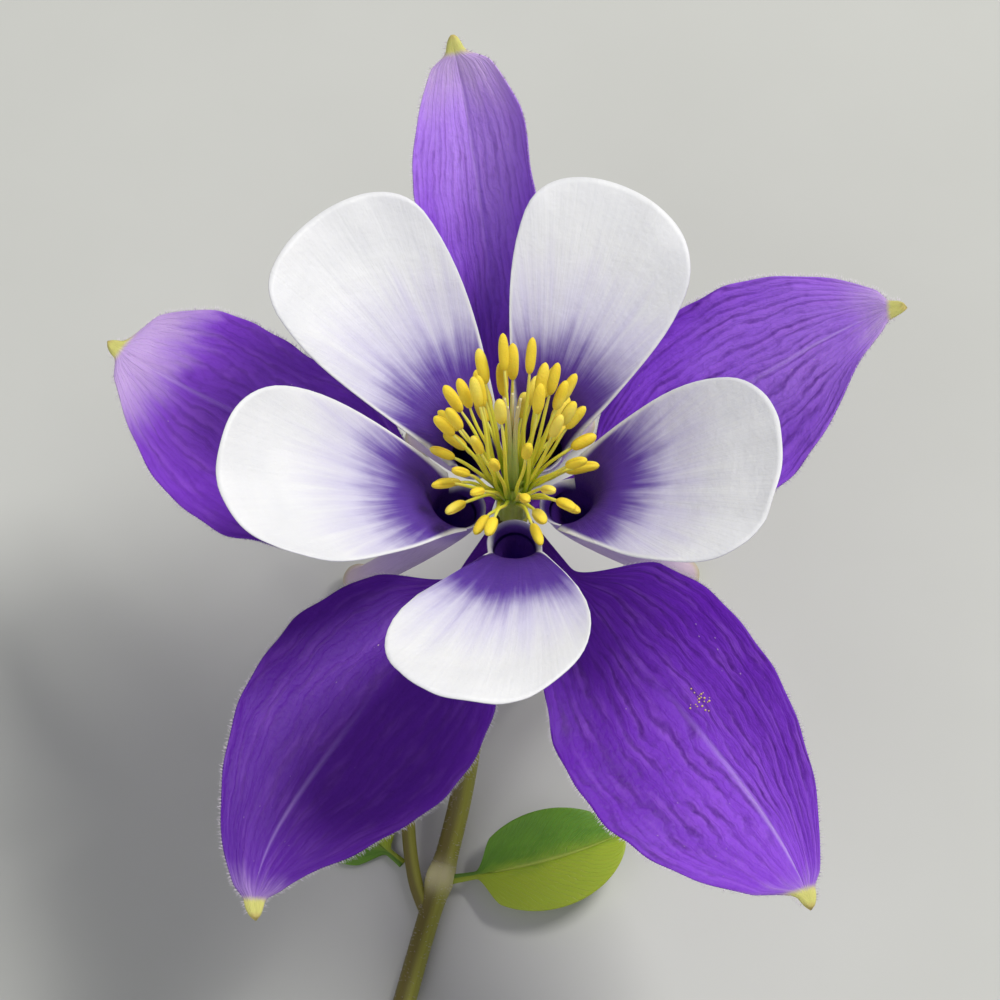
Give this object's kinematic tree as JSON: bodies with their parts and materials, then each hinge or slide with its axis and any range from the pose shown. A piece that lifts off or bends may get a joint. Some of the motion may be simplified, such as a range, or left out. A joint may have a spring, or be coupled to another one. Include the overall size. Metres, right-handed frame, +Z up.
{
  "type": "columbine flower",
  "caption": "Long-spurred columbine bloom on a cut stem, face up on its spur tips with the stem lying behind; a decorative cut flower.",
  "frame": {"origin": "middle of the bounding box, on the surface that the bloom's spur tips rest on", "axes": "+Z up, out of the bloom's face; +Y from the stem's cut end towards the bloom; +X to the bloom's right as seen from the stem's end"},
  "size_m": [0.0786, 0.1325, 0.0574],
  "materials": {
    "sepal_violet": "soft velvety plant tissue",
    "petal_white": "soft plant tissue, violet in the throat",
    "anther_yellow": "matte pollen",
    "carpel_green": "soft plant tissue",
    "stem_olive": "satin plant tissue",
    "leaf_green": "satin leaf"
  },
  "bodies": {
    "root": {"sepal_top": "sepal_violet", "sepal_left": "sepal_violet", "sepal_low_left": "sepal_violet", "sepal_low_right": "sepal_violet", "sepal_right": "sepal_violet", "petal_upper_left": "petal_white", "petal_upper_right": "petal_white", "petal_left": "petal_white", "petal_right": "petal_white", "petal_lower": "petal_white", "stamens": "anther_yellow", "pistil": "carpel_green", "stem": "stem_olive", "leaf_right": "leaf_green", "leaf_left": "leaf_green"}
  },
  "joints": []
}
